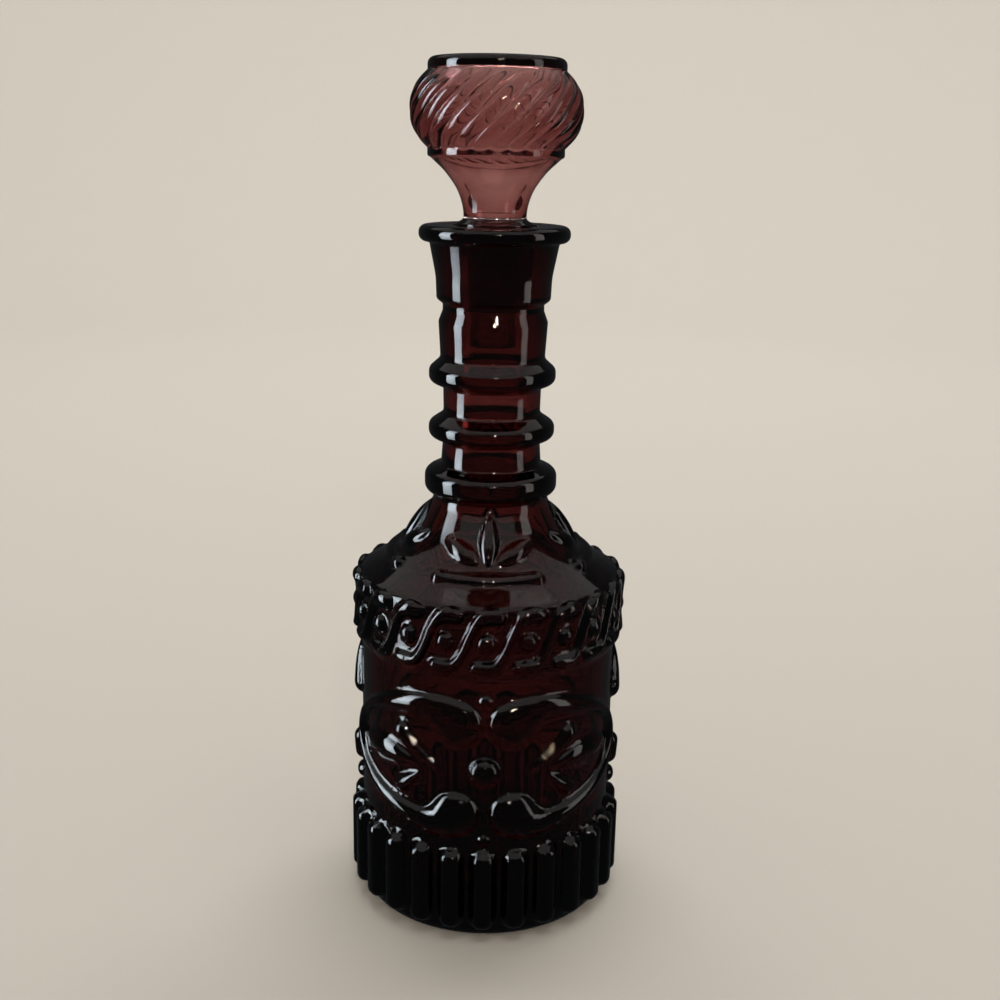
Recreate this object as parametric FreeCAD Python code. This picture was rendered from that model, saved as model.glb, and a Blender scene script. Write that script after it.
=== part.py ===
import FreeCAD, Part
import math
import os

# Stoppered glass decanter, standing on Z = 0 with its axis on Z. The front of the ornament faces -Y.
# Angles round the axis are in degrees from the front, positive toward +X. Sizes are in millimetres.

V = FreeCAD.Vector
UP = V(0, 0, 1)

# Body of the bottle
BODY_R = 49.0
BODY_HEIGHT = 131.2
WALL = 5.5
BASE_THICKNESS = 6.0
HEEL_ROUND = 4.0
FOOT_RING_WIDTH = 15.0
PUSH_UP = 4.5
PUSH_UP_SLOPE = 6.0
BAND_HEIGHT = 25.2
BAND_RISE = 0.8
BAND_STEP = 1.0
BODY_EDGE_ROUND = 3.0
FLOOR_ROUND = 12.0
ROOF_ROUND = 7.0

# Bore of the neck, with the tapered seat of the stopper at its mouth
MOUTH_R = 15.0
MOUTH_CHAMFER = 1.0
SEAT_LENGTH = 32.0
SEAT_TAPER = 1.8
BORE_STEP = 0.6
THROAT_FLARE = 14.0
THROAT_DROP = 4.4
THROAT_ROUND = 30.0
BORE_FOOT = 4.0
BORE_FOOT_ROUND = 10.0

# Outside of the neck: walls outward from the bore, heights upward from the body
NECK_WALL = 5.6
SHOULDER_RISE = 10.0
SHOULDER_FLARE = 12.8
SHOULDER_ROUND = 40.0
NECK_FOOT_RISE = 16.8
NECK_FOOT_FLARE = 3.8
NECK_FOOT_TAPER = 0.6
RING_GAPS = (9.4, 18.2, 20.4)
RING_RISE = 5.3
RING_ROUND = 3.2
RING_DROP = 2.0
RING_LIFT = 2.8
RING_UNDERCUT = 2.2
RING_FLARE = 3.8
LOWER_RING_RISE = 6.7
LOWER_RING_DROP = 4.1
LOWER_RING_LIFT = 2.7
LOWER_RING_ROUND = 3.4
LOWER_NECK_SWELL = 0.9
MIDDLE_NECK_SWELL = 0.4
UPPER_NECK_SWELL = 1.1
UPPER_NECK = 26.0
NECK_BEAD_INSET = 0.9
NECK_BEAD_DROP = 4.2
NECK_BEAD_ROUND = 0.8
GROOVE_DEPTH = 2.4
GROOVE_WIDTH = 3.0
GROOVE_DROP = 0.6
CUP_WALL = 7.7
CUP_HEIGHT = 21.8
CUP_FOOT_ROUND = 1.2
CUP_BELLY = 9.0
CUP_BELLY_RISE = 0.3
CUP_BELLY_ROUND = 24.0
CUP_FLARE = 2.5
LIP_WIDTH = 12.45
LIP_HEIGHT = 7.2
LIP_UNDERCUT = 0.8
LIP_ROUND = 3.0

# Stopper: its foot sits in the mouth, its shank goes down through the sleeve
FOOT_CLEARANCE = 1.0
FOOT_SINK = 1.8
FOOT_HEIGHT = 1.6
FOOT_ROUND = 0.5
STEM_R = 11.3
STEM_HEIGHT = 22.0
STEM_FOOT_RISE = 1.6
STEM_FOOT_ROUND = 1.6
STEM_WAIST = 8.7
STEM_ROUND = 12.0
COLLAR_R = 24.4
COLLAR_HEIGHT = 3.2
COLLAR_STEP = 2.6
COLLAR_ROUND = 0.8
HEAD_R = 30.7
HEAD_HEIGHT = 27.0
HEAD_FULLNESS = 2.4
HOLLOW_ROUND = 14.0
HOLLOW_EDGE_ROUND = 3.0
HOLLOW_FOOT_INSET = 1.6
HOLLOW_FOOT_RISE = 2.0
HOLLOW_TOP_RISE = 0.5
RIM_R = 24.4
RIM_HEIGHT = 5.0
RIM_ROUND = 2.6
RIM_SINK = 1.5
RIM_TUCK = 1.0
DISH_EDGE = 5.0
DISH_SLOPE = 2.0
DISH_DEPTH = 1.6
DISH_ROUND = 1.5
SHANK_R = 8.7
SHANK_TAIL = 13.0
SHANK_ROUND = 1.5
STOPPER_WALL = 3.0
SWIRL_RIBS = 24
SWIRL_TWIST = 55.0
SWIRL_DEPTH = 1.5
SWIRL_SECTIONS = 13
SLEEVE_RAISE = 1.2
SLEEVE_FOOT_ROUND = 1.0
SLEEVE_TOP_ROUND = 0.5
TURN_CLEARANCE = 0.08
SEAT_CLEARANCE = 0.2

# Base ribs
RIBS = 26
RIB_RISE = 4.6
RIB_GAP = 1.94
RIB_LENGTH = 34.0

# Rings of glass between two stations of a raised strip
RINGS_PER_STATION = 3

# Running-wave band
WAVES = 21
WAVE_HALF_WIDTH = 2.1
WAVE_RISE = 3.3
WAVE_FOOT_MARGIN = 4.1
WAVE_HEAD_MARGIN = 2.0
WAVE_BEND = 6.0
BEAD_R = 3.2
BEAD_RISE = 3.0
BEAD_LIFT = 12.9

# Facing scrolls of the two panels. Their sizes grow with the plain wall and are shares of its height.
PANELS = (0.0, 180.0)
CURL_ANGLE = 12.3
CURL_R = 0.129
CURL_RISE = 0.059
ARM_RISE = 0.035
LEAF_RISE = 0.032
CLUB_R = 0.05
CLUB_RISE = 0.03
BUD_R = 0.041
BUD_RISE = 0.027
TIP_SINK = 0.6
BOSS_R = 5.6
BOSS_RISE = 4.0
PEARL_R = 2.4
PEARL_SINK = 0.8

# Hanging drops between the panels, with sizes as shares of the plain wall's height too
DROP_ANGLES = (90.0, 270.0)
DROP_R = 0.062
DROP_RISE = 0.0485
DROP_LEAN = 0.02
POD_R = 0.056
POD_RISE = 0.059
SEED_R = 0.0515
SEED_RISE = 0.047

# Palmettes of the shoulder: a bar, an upright leaf and two spread leaves, each sunk a little in the glass
PALMETTES = (0.0, 90.0, 180.0, 270.0)
BAR_OFFSET = 7.0
BAR_HALF_ANGLE = 28.0
BAR_ROUND = 3.4
BAR_SINK = 1.0
BAR_END_ROUND = 3.6
LEAF_R = 3.4
LEAF_TOP_SINK = 0.5
LEAF_ROOT_ANGLE = 4.5
LEAF_ROOT_OFFSET = 2.2
LEAF_ROOT_SINK = 2.2
LEAF_SPREAD = 36.0
LEAF_TIP_SINK = 4.7
LEAF_LIFT = 8.3

# Radii and heights that follow from the sizes above
BAND_BOTTOM = BODY_HEIGHT - BAND_HEIGHT
SEAT_BOTTOM_R = MOUTH_R - SEAT_TAPER
BORE_R = SEAT_BOTTOM_R - BORE_STEP
NECK_R = BORE_R + NECK_WALL
SHOULDER_R = NECK_R + SHOULDER_FLARE
SHOULDER_Z = BODY_HEIGHT + SHOULDER_RISE
NECK_FOOT_R = NECK_R + NECK_FOOT_FLARE
NECK_FOOT_Z = SHOULDER_Z + NECK_FOOT_RISE
LOW_RING_Z = NECK_FOOT_Z + RING_GAPS[0]
MID_RING_Z = LOW_RING_Z + RING_GAPS[1]
HIGH_RING_Z = MID_RING_Z + RING_GAPS[2]
CUP_BOTTOM = HIGH_RING_Z + UPPER_NECK
CUP_R = SEAT_BOTTOM_R + CUP_WALL
LIP_BOTTOM = CUP_BOTTOM + CUP_HEIGHT
LIP_TOP = LIP_BOTTOM + LIP_HEIGHT
LIP_R = MOUTH_R + LIP_WIDTH
SEAT_TOP = LIP_TOP - MOUTH_CHAMFER
SEAT_BOTTOM = LIP_TOP - SEAT_LENGTH
SLEEVE_BOTTOM = SEAT_BOTTOM + SLEEVE_RAISE
SHANK_END = SLEEVE_BOTTOM - SHANK_TAIL
FOOT_R = MOUTH_R - FOOT_CLEARANCE
FOOT_BOTTOM = LIP_TOP - FOOT_SINK
FOOT_TOP = FOOT_BOTTOM + FOOT_HEIGHT
COLLAR_BOTTOM = FOOT_TOP + STEM_HEIGHT
HEAD_BOTTOM = COLLAR_BOTTOM + COLLAR_HEIGHT
RIM_BOTTOM = HEAD_BOTTOM + HEAD_HEIGHT
STOPPER_TOP = RIM_BOTTOM + RIM_HEIGHT
RIB_BOTTOM = HEEL_ROUND
RIB_TOP = RIB_BOTTOM + RIB_LENGTH
SEAM_ANGLE = 3.5 * 360.0 / RIBS


def place(angle, radius, height):
    """Point at an angle round the axis, a distance from it and a height."""
    turn = math.radians(angle)
    return V(radius * math.sin(turn), -radius * math.cos(turn), height)


def panel_size(share):
    """Size that grows with the plain wall between the base ribs and the band."""
    return share * (BAND_BOTTOM - RIB_TOP)


def panel_height(share):
    """Height on the plain wall, from 0 at the top of the base ribs to 1 at the band."""
    return RIB_TOP + panel_size(share)


def rounded_outline(corners):
    """Closed wire in the XZ plane from (radius, height, rounding) corners."""
    count = len(corners)
    spots = [V(r, 0, z) for r, z, _ in corners]
    runs = []
    for i in range(count):
        here = spots[i]
        back = spots[i - 1] - here
        ahead = spots[(i + 1) % count] - here
        size = corners[i][2]
        if size == 0:
            runs.append((here, here, here))
            continue
        half = back.getAngle(ahead) / 2
        reach = size / math.tan(half)
        back.normalize()
        ahead.normalize()
        middle = back + ahead
        middle.normalize()
        dip = size / math.sin(half) - size
        runs.append((here + back * reach, here + middle * dip, here + ahead * reach))
    edges = []
    for i in range(count):
        start, through, end = runs[i]
        after = runs[(i + 1) % count][0]
        if start.distanceToPoint(end) > 1e-6:
            edges.append(Part.Arc(start, through, end).toShape())
        if end.distanceToPoint(after) > 1e-6:
            edges.append(line(end, after))
    return Part.Wire(edges)


def turned(corners):
    """Solid of revolution of a rounded outline about Z, with its seam line between two base ribs."""
    solid = Part.Face(rounded_outline(corners)).revolve(V(0, 0, 0), UP, 360)
    solid.rotate(V(0, 0, 0), UP, SEAM_ANGLE - 90.0)
    return solid


def pointed(solid, start, end):
    """Moves a solid made along +Z from the origin so that it runs from start toward end."""
    solid.Placement = FreeCAD.Placement(start, FreeCAD.Rotation(UP, end - start))
    return solid


def tangent_spot(fat, reach):
    """Radius and distance from a ball's centre at which a line from a tip, some reach away, touches the ball."""
    along = fat * fat / reach
    return math.sqrt(fat * fat - along * along), along


def spun(edges):
    """Solid of revolution about Z from the edges of a closed outline in the XZ plane."""
    return Part.Face(Part.Wire(edges)).revolve(V(0, 0, 0), UP, 360)


def line(start, end):
    return Part.LineSegment(start, end).toShape()


def ball_arc(centre, fat, start, end):
    """Arc of a ball's outline about the axis between two angles, in degrees up from level."""
    spots = []
    for angle in (start, (start + end) / 2, end):
        turn = math.radians(angle)
        spots.append(V(fat * math.cos(turn) if abs(angle) < 90 else 0, 0, centre + fat * math.sin(turn)))
    return Part.Arc(*spots).toShape()


def teardrop(start, end, fat):
    """Drop with its tip at start and a ball round the point end."""
    reach = start.distanceToPoint(end)
    radius, along = tangent_spot(fat, reach)
    low = -math.degrees(math.asin(along / fat))
    touch = V(radius, 0, reach - along)
    top = V(0, 0, reach + fat)
    edges = [line(top, V(0, 0, 0)), line(V(0, 0, 0), touch), ball_arc(reach, fat, low, 90)]
    return pointed(spun(edges), start, end)


def leaf(start, end, fat):
    """Leaf pointed at both ends and fullest in the middle, round about the line from start to end."""
    reach = start.distanceToPoint(end) / 2
    radius, along = tangent_spot(fat, reach)
    lean = math.degrees(math.asin(along / fat))
    low = V(radius, 0, reach - along)
    high = V(radius, 0, reach + along)
    tip = V(0, 0, reach * 2)
    edges = [line(tip, V(0, 0, 0)), line(V(0, 0, 0), low), ball_arc(reach, fat, -lean, lean), line(high, tip)]
    return pointed(spun(edges), start, end)


def capsule(low, high, fat):
    """Upright bar with round ends between two heights, about Z."""
    edges = [
        line(V(0, 0, high), V(0, 0, low)),
        ball_arc(low + fat, fat, -90, 0),
        line(V(fat, 0, low + fat), V(fat, 0, high - fat)),
        ball_arc(high - fat, fat, 0, 90),
    ]
    return spun(edges)


def around(solid, angles):
    """Copies of a solid turned about Z to each of the angles."""
    copies = []
    for angle in angles:
        copy = solid.copy()
        copy.rotate(V(0, 0, 0), UP, angle)
        copies.append(copy)
    return copies


def even(count):
    return [360.0 * i / count for i in range(count)]


def raised_run(stations):
    """Rounded strip along the wall, on a smooth path through (angle, height, half width, rise) stations.

    Each ring starts on its side toward the axis, so that the strip's seam lies hidden in the wall.
    """
    centres = [place(a, BODY_R + rise - w, z) for a, z, w, rise in stations]
    path = Part.BSplineCurve()
    path.interpolate(centres)
    marks = [path.parameter(centre) for centre in centres]
    rings = []
    for i in range(len(stations) - 1):
        for k in range(RINGS_PER_STATION):
            rings.append(run_ring(path, marks[i:i + 2], stations[i:i + 2], k / RINGS_PER_STATION))
    rings.append(run_ring(path, marks[-2:], stations[-2:], 1.0))
    return Part.makeLoft(rings, True, False)


def run_ring(path, marks, stations, share):
    """Ring of a strip at a share of the way between two stations of its path."""
    at = marks[0] + (marks[1] - marks[0]) * share
    half_width = stations[0][2] + (stations[1][2] - stations[0][2]) * share
    centre = path.value(at)
    ring = Part.Circle(V(0, 0, 0), UP, half_width).toShape()
    turn = FreeCAD.Rotation(V(-centre.x, -centre.y, 0), V(0, 0, 0), path.tangent(at)[0], "ZXY")
    ring.Placement = FreeCAD.Placement(centre, turn)
    return Part.Wire(ring)


def dome(angle, height, half_width, rise):
    """Shallow round swelling of the wall."""
    ball = (half_width ** 2 + rise ** 2) / (2 * rise)
    return Part.makeSphere(ball, place(angle, BODY_R + rise - ball, height))


def neck_ring(height, neck_below, neck_above):
    """Corners of a neck ring: steep underside, round edge and a top that flares out of the neck."""
    outer = NECK_R + RING_RISE
    return [
        (neck_below, height - RING_DROP - RING_UNDERCUT, 0),
        (outer, height - RING_DROP, RING_ROUND),
        (outer, height + RING_LIFT, RING_ROUND),
        (neck_above, height + RING_LIFT + RING_FLARE, RING_ROUND),
    ]


def bottle_outside():
    """Corners of the bottle's outside, from the middle of its base to the middle of its mouth."""
    low_ring_r = NECK_R + LOWER_RING_RISE
    foot_ring_in = BODY_R - FOOT_RING_WIDTH
    groove_top = CUP_BOTTOM - GROOVE_DROP
    groove_bottom = groove_top - GROOVE_WIDTH
    corners = [
        (0, PUSH_UP, 0),
        (foot_ring_in - PUSH_UP_SLOPE, PUSH_UP, 0),
        (foot_ring_in, 0, 0),
        (BODY_R, 0, HEEL_ROUND),
        (BODY_R, BAND_BOTTOM, 0),
        (BODY_R + BAND_RISE, BAND_BOTTOM + BAND_STEP, 0),
        (BODY_R + BAND_RISE, BODY_HEIGHT, BODY_EDGE_ROUND),
        (SHOULDER_R, SHOULDER_Z, SHOULDER_ROUND),
        (NECK_FOOT_R, NECK_FOOT_Z, 0),
        (NECK_FOOT_R - NECK_FOOT_TAPER, LOW_RING_Z - LOWER_RING_DROP - RING_UNDERCUT, 0),
        (low_ring_r, LOW_RING_Z - LOWER_RING_DROP, LOWER_RING_ROUND),
        (low_ring_r, LOW_RING_Z + LOWER_RING_LIFT, LOWER_RING_ROUND),
        (NECK_R + LOWER_NECK_SWELL, LOW_RING_Z + LOWER_RING_LIFT + RING_UNDERCUT, 0),
    ]
    corners += neck_ring(MID_RING_Z, NECK_R + MIDDLE_NECK_SWELL, NECK_R)
    corners += neck_ring(HIGH_RING_Z, NECK_R, NECK_R + UPPER_NECK_SWELL)
    corners += [
        (CUP_R - NECK_BEAD_INSET, groove_bottom - NECK_BEAD_DROP, NECK_BEAD_ROUND),
        (CUP_R - GROOVE_DEPTH, groove_bottom, 0),
        (CUP_R - GROOVE_DEPTH, groove_top, 0),
        (CUP_R, CUP_BOTTOM, CUP_FOOT_ROUND),
        (CUP_R + CUP_BELLY_RISE, CUP_BOTTOM + CUP_BELLY, CUP_BELLY_ROUND),
        (CUP_R + CUP_FLARE, LIP_BOTTOM - LIP_UNDERCUT, 0),
        (LIP_R, LIP_BOTTOM, LIP_ROUND),
        (LIP_R, LIP_TOP, LIP_ROUND),
        (0, LIP_TOP, 0),
    ]
    return corners


def bottle_hollow():
    """Corners of the bottle's inside, from its floor up the bore to the mouth."""
    return [
        (0, PUSH_UP + BASE_THICKNESS, 0),
        (BODY_R - WALL, PUSH_UP + BASE_THICKNESS, FLOOR_ROUND),
        (BODY_R - WALL, BODY_HEIGHT - WALL, ROOF_ROUND),
        (BORE_R + THROAT_FLARE, SHOULDER_Z - THROAT_DROP, THROAT_ROUND),
        (BORE_R, NECK_FOOT_Z + BORE_FOOT, BORE_FOOT_ROUND),
        (BORE_R, SEAT_BOTTOM - BORE_STEP, 0),
        (SEAT_BOTTOM_R, SEAT_BOTTOM, 0),
        (MOUTH_R, SEAT_TOP, 0),
        (MOUTH_R + MOUTH_CHAMFER, LIP_TOP, 0),
        (0, LIP_TOP, 0),
    ]


def bottle():
    """Bottle of one glass, with its ornament raised on the outside and then the hollow taken out."""
    ornament = base_ribs() + wave_band() + side_drops() + palmettes()
    for panel in PANELS:
        ornament += around(Part.Compound(scroll_panel()), (panel,))[0].Solids
    return turned(bottle_outside()).fuse(ornament).cut(turned(bottle_hollow()))


def base_ribs():
    """Upright round-ended ribs, as wide as the gap between neighbours lets them be."""
    half_pitch = math.sin(math.pi / RIBS)
    rib_r = ((BODY_R + RIB_RISE) * half_pitch - RIB_GAP / 2) / (1 + half_pitch)
    rib = capsule(RIB_BOTTOM, RIB_TOP, rib_r)
    rib.translate(place(0, BODY_R + RIB_RISE - rib_r, 0))
    return around(rib, even(RIBS))


def wave_band():
    """Running waves: each has a foot under its bead, a slanted stroke and a head over the next bead.

    Stations are shares of the pitch, heights, and shares of the half width.
    """
    foot = BAND_BOTTOM + WAVE_FOOT_MARGIN
    head = BODY_HEIGHT - WAVE_HEAD_MARGIN
    pitch = 360.0 / WAVES
    shape = [
        (-0.29, foot + 0.3, 1.15),
        (-0.06, foot, 1.1),
        (0.2, foot + 1.0, 1.0),
        (0.43, foot + WAVE_BEND, 0.8),
        (0.58, head - WAVE_BEND, 0.8),
        (0.78, head - 1.0, 1.0),
        (1.02, head, 1.1),
        (1.22, head - 0.5, 1.1),
    ]
    wave = raised_run([(share * pitch, z, w * WAVE_HALF_WIDTH, WAVE_RISE) for share, z, w in shape])
    bead = Part.makeSphere(BEAD_R, place(0, BODY_R + BEAD_RISE - BEAD_R, BAND_BOTTOM + BEAD_LIFT))
    return around(wave, even(WAVES)) + around(bead, even(WAVES))


def scroll_panel():
    """Two facing scrolls with their leaves, the boss between them and two pearls.

    Stations are an angle, then height, half width and rise as shares of the plain wall's height.
    """
    arm = [
        (-CURL_ANGLE - 6.0, 0.82, 0.062, ARM_RISE + 0.009),
        (-30.0, 0.806, 0.053, ARM_RISE + 0.006),
        (-44.0, 0.756, 0.038, ARM_RISE),
        (-57.0, 0.668, 0.032, ARM_RISE),
        (-68.0, 0.553, 0.03, ARM_RISE),
        (-72.5, 0.441, 0.03, ARM_RISE),
        (-69.5, 0.338, 0.03, ARM_RISE),
        (-60.0, 0.238, 0.035, ARM_RISE),
        (-46.0, 0.165, 0.044, ARM_RISE),
        (-32.0, 0.131, 0.056, ARM_RISE + 0.006),
        (-CURL_ANGLE - 5.0, 0.124, 0.065, ARM_RISE + 0.009),
    ]
    wide_leaf = [
        (-29.5, 0.453, 0.01, 0.006),
        (-40.0, 0.465, 0.047, LEAF_RISE - 0.007),
        (-50.0, 0.465, 0.065, LEAF_RISE),
        (-59.0, 0.453, 0.044, LEAF_RISE - 0.007),
        (-67.0, 0.435, 0.01, 0.006),
    ]
    runs = []
    for stations in (arm, wide_leaf):
        sized = [(a, panel_height(z), panel_size(w), panel_size(rise)) for a, z, w, rise in stations]
        runs.append(raised_run(sized))
    club_tip = place(-17.5, BODY_R - TIP_SINK, panel_height(0.476))
    club_end = place(-36.0, BODY_R + panel_size(CLUB_RISE - CLUB_R), panel_height(0.629))
    bud_tip = place(-29.5, BODY_R - TIP_SINK, panel_height(0.406))
    bud_end = place(-36.4, BODY_R + panel_size(BUD_RISE - BUD_R), panel_height(0.312))
    left = runs + [
        dome(-CURL_ANGLE, panel_height(0.753), panel_size(CURL_R), panel_size(CURL_RISE)),
        dome(-CURL_ANGLE, panel_height(0.194), panel_size(CURL_R), panel_size(CURL_RISE)),
        teardrop(club_tip, club_end, panel_size(CLUB_R)),
        teardrop(bud_tip, bud_end, panel_size(BUD_R)),
    ]
    right = [piece.mirror(V(0, 0, 0), V(1, 0, 0)) for piece in left]
    boss = dome(0, panel_height(0.471), BOSS_R, BOSS_RISE)
    pearls = []
    for share in (0.876, 0.074):
        pearls.append(Part.makeSphere(PEARL_R, place(0, BODY_R - PEARL_SINK, panel_height(share))))
    return left + right + [boss] + pearls


def side_drops():
    """A hanging drop, a pod and a seed, one above the other."""
    axis = BODY_R + panel_size(DROP_RISE - DROP_R)
    tip = place(0, axis + panel_size(DROP_LEAN), panel_height(0.926))
    drop = teardrop(tip, place(0, axis, panel_height(0.659)), panel_size(DROP_R))
    pod = capsule(panel_height(0.171), panel_height(0.359), panel_size(POD_R))
    pod.translate(place(0, BODY_R + panel_size(POD_RISE - POD_R), 0))
    seed_axis = BODY_R + panel_size(SEED_RISE - SEED_R)
    seed = Part.makeSphere(panel_size(SEED_R), place(0, seed_axis, panel_height(0.1)))
    return around(drop, DROP_ANGLES) + around(pod, DROP_ANGLES) + around(seed, DROP_ANGLES)


def palmettes():
    """A bar on the shoulder with an upright leaf and two spread leaves above it, four times round."""
    slope = SHOULDER_RISE / (BODY_R + BAND_RISE - SHOULDER_R)
    bar_r = SHOULDER_R + BAR_OFFSET
    bar_z = SHOULDER_Z - BAR_OFFSET * slope - BAR_SINK
    bar = Part.makeTorus(bar_r, BAR_ROUND, V(0, 0, bar_z), UP, -180, 180, BAR_HALF_ANGLE * 2)
    bar.rotate(V(0, 0, 0), UP, -90.0 - BAR_HALF_ANGLE)
    top = place(0, NECK_FOOT_R - LEAF_TOP_SINK, NECK_FOOT_Z)
    root_r = SHOULDER_R + LEAF_ROOT_OFFSET
    root_z = SHOULDER_Z - LEAF_ROOT_SINK
    pieces = [bar, leaf(top, place(0, root_r, root_z), LEAF_R)]
    for side in (-1, 1):
        tip = place(side * LEAF_SPREAD, SHOULDER_R - LEAF_TIP_SINK, SHOULDER_Z + LEAF_LIFT)
        pieces.append(leaf(tip, place(side * LEAF_ROOT_ANGLE, root_r, root_z), LEAF_R))
        pieces.append(Part.makeSphere(BAR_END_ROUND, place(side * BAR_HALF_ANGLE, bar_r, bar_z)))
    turned_pieces = []
    for piece in pieces:
        turned_pieces += around(piece, PALMETTES)
    return turned_pieces


def head_radius(share):
    """Crest radius of the swirled head, an oval that closes toward the collar at 0 and the rim at 1."""
    bend = abs(2 * share - 1) ** HEAD_FULLNESS
    return HEAD_R + (RIM_R - HEAD_R) * bend


def swirled_head():
    """Head with twisted ribs: scalloped sections, each turned a little farther than the one below."""
    pitch = 360.0 / SWIRL_RIBS
    rings = []
    for i in range(SWIRL_SECTIONS):
        share = i / (SWIRL_SECTIONS - 1)
        height = HEAD_BOTTOM + share * HEAD_HEIGHT
        crest = head_radius(share)
        valley = crest - SWIRL_DEPTH * (0.25 + 0.75 * math.sin(math.pi * share))
        turn = (share - 0.5) * SWIRL_TWIST
        edges = []
        for k in range(SWIRL_RIBS):
            a = turn + k * pitch
            start = place(a - pitch / 2, valley, height)
            end = place(a + pitch / 2, valley, height)
            edges.append(Part.Arc(start, place(a, crest, height), end).toShape())
        rings.append(Part.Wire(edges))
    return Part.makeLoft(rings, True, False)


def finial():
    """Hollow stopper: shank, foot, stem and collar turned in one, then the swirled head and the rim."""
    waist_z = FOOT_TOP + STEM_WAIST
    lower = [
        (0, SHANK_END, 0),
        (SHANK_R, SHANK_END, SHANK_ROUND),
        (SHANK_R, FOOT_BOTTOM, 0),
        (FOOT_R, FOOT_BOTTOM, FOOT_ROUND),
        (FOOT_R, FOOT_TOP, FOOT_ROUND),
        (STEM_R, FOOT_TOP + STEM_FOOT_RISE, STEM_FOOT_ROUND),
        (STEM_R, waist_z, STEM_ROUND),
        (COLLAR_R - COLLAR_STEP, COLLAR_BOTTOM, COLLAR_ROUND / 2),
        (COLLAR_R, COLLAR_BOTTOM, COLLAR_ROUND),
        (COLLAR_R, HEAD_BOTTOM, COLLAR_ROUND),
        (0, HEAD_BOTTOM, 0),
    ]
    dish_r = RIM_R - DISH_EDGE
    rim = [
        (0, RIM_BOTTOM - RIM_SINK, 0),
        (RIM_R - RIM_TUCK, RIM_BOTTOM - RIM_SINK, 0),
        (RIM_R, RIM_BOTTOM + RIM_TUCK, RIM_TUCK),
        (RIM_R, STOPPER_TOP, RIM_ROUND),
        (dish_r, STOPPER_TOP, DISH_ROUND),
        (dish_r - DISH_SLOPE, STOPPER_TOP - DISH_DEPTH, DISH_ROUND),
        (0, STOPPER_TOP - DISH_DEPTH, 0),
    ]
    bore = SHANK_R - STOPPER_WALL
    stem_bore = STEM_R - STOPPER_WALL
    hollow_top = RIM_BOTTOM + HOLLOW_TOP_RISE
    hollow = [
        (0, SHANK_END, 0),
        (bore, SHANK_END, 0),
        (bore, FOOT_BOTTOM, 0),
        (stem_bore, FOOT_TOP + STEM_FOOT_RISE, HOLLOW_EDGE_ROUND),
        (stem_bore, waist_z, STEM_ROUND),
        (COLLAR_R - STOPPER_WALL - HOLLOW_FOOT_INSET, COLLAR_BOTTOM + HOLLOW_FOOT_RISE, HOLLOW_EDGE_ROUND),
        (HEAD_R - STOPPER_WALL - SWIRL_DEPTH, HEAD_BOTTOM + HEAD_HEIGHT / 2, HOLLOW_ROUND),
        (RIM_R - STOPPER_WALL, hollow_top, HOLLOW_EDGE_ROUND),
        (0, hollow_top, 0),
    ]
    return turned(lower).fuse([swirled_head(), turned(rim)]).cut(turned(hollow))


def sleeve():
    """Seal round the shank: tapered with the seat of the neck, under the foot of the finial."""
    taper = SEAT_TAPER / (SEAT_TOP - SEAT_BOTTOM)
    low = SEAT_BOTTOM_R + (SLEEVE_BOTTOM - SEAT_BOTTOM) * taper - SEAT_CLEARANCE
    high = SEAT_BOTTOM_R + (FOOT_BOTTOM - SEAT_BOTTOM) * taper - SEAT_CLEARANCE
    inside = SHANK_R + TURN_CLEARANCE
    return turned([
        (inside, SLEEVE_BOTTOM, 0),
        (low, SLEEVE_BOTTOM, SLEEVE_FOOT_ROUND),
        (high, FOOT_BOTTOM, SLEEVE_TOP_ROUND),
        (inside, FOOT_BOTTOM, 0),
    ])


os.makedirs("parts", exist_ok=True)
bottle().exportStep("parts/bottle_body.step")
finial().exportStep("parts/stopper_finial.step")
sleeve().exportStep("parts/stopper_sleeve.step")
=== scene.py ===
import math

import bpy
import numpy as np
from mathutils import Matrix, Vector


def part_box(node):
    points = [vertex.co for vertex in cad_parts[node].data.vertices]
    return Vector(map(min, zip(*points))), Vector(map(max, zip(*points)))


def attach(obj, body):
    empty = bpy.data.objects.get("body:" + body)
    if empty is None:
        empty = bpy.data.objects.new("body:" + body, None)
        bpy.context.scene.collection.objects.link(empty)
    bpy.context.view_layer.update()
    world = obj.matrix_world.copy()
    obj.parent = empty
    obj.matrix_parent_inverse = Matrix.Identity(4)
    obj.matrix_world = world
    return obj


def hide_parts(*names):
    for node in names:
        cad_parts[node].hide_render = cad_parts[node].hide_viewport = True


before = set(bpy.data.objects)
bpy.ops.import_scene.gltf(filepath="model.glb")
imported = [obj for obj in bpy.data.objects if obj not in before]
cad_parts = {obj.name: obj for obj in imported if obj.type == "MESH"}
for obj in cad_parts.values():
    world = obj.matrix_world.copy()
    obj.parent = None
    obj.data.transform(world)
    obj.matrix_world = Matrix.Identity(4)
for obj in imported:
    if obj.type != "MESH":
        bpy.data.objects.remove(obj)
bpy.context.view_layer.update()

# A stoppered glass decanter: bottle, hollow stopper and the seal between them. Angles are in degrees round
# the bottle's axis from the front, positive to the right. Outlines and ornament are drawn in millimetres.

# Units and tolerances
MM = 0.001
WELD = 1e-6
ROW_COUNT_SLACK = 1e-6
LEAST_RISE = 1e-4
SKIN_DEPTH = 1.0

# Sizes from the frame; the lip and the stopper's top stand a little lower than there
LIP_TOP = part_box("bottle_body")[1].z / MM
LIP_DROP = 0.7
SHANK_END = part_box("stopper_finial")[0].z / MM
TOP_DROP = 0.7
STOPPER_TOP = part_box("stopper_finial")[1].z / MM - TOP_DROP
SLEEVE_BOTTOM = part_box("stopper_sleeve")[0].z / MM
SLEEVE_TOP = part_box("stopper_sleeve")[1].z / MM
SLEEVE_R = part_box("stopper_sleeve")[1].x / MM

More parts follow.
